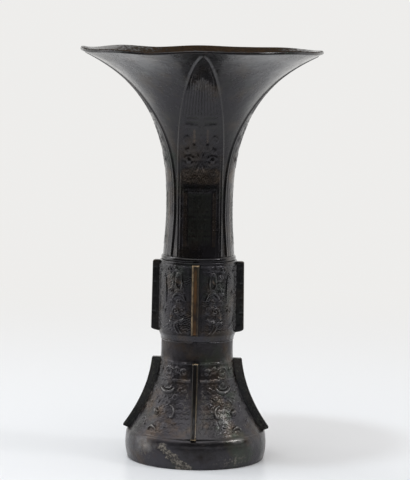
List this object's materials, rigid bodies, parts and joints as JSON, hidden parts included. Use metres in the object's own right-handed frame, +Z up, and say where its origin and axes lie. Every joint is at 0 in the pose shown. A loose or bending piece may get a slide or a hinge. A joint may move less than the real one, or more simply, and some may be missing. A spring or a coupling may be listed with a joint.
{
  "type": "bronze gu vessel",
  "caption": "Tall bronze beaker vase with a wide trumpet mouth, raised blade panels on the neck, a flanged drum knop and a flanged spreading foot.",
  "frame": {"origin": "centre of the foot's rest plane", "axes": "+Z up along the vessel's axis, -Y to the front, +X to the right of someone facing the front"},
  "size_m": [0.148, 0.148, 0.25],
  "materials": {
    "bronze_neck": "satin dark patina",
    "bronze_knop": "satin dark patina",
    "bronze_foot": "satin dark patina",
    "bronze_floor": "dull brown patina",
    "bronze_flange": "dark patina, worn at the edges"
  },
  "bodies": {
    "root": {"neck": "bronze_neck", "knop": "bronze_knop", "foot": "bronze_foot", "floor_disc": "bronze_floor", "knop_flange_front": "bronze_flange", "knop_flange_right": "bronze_flange", "knop_flange_back": "bronze_flange", "knop_flange_left": "bronze_flange", "foot_flange_front": "bronze_flange", "foot_flange_right": "bronze_flange", "foot_flange_back": "bronze_flange", "foot_flange_left": "bronze_flange"}
  },
  "joints": []
}
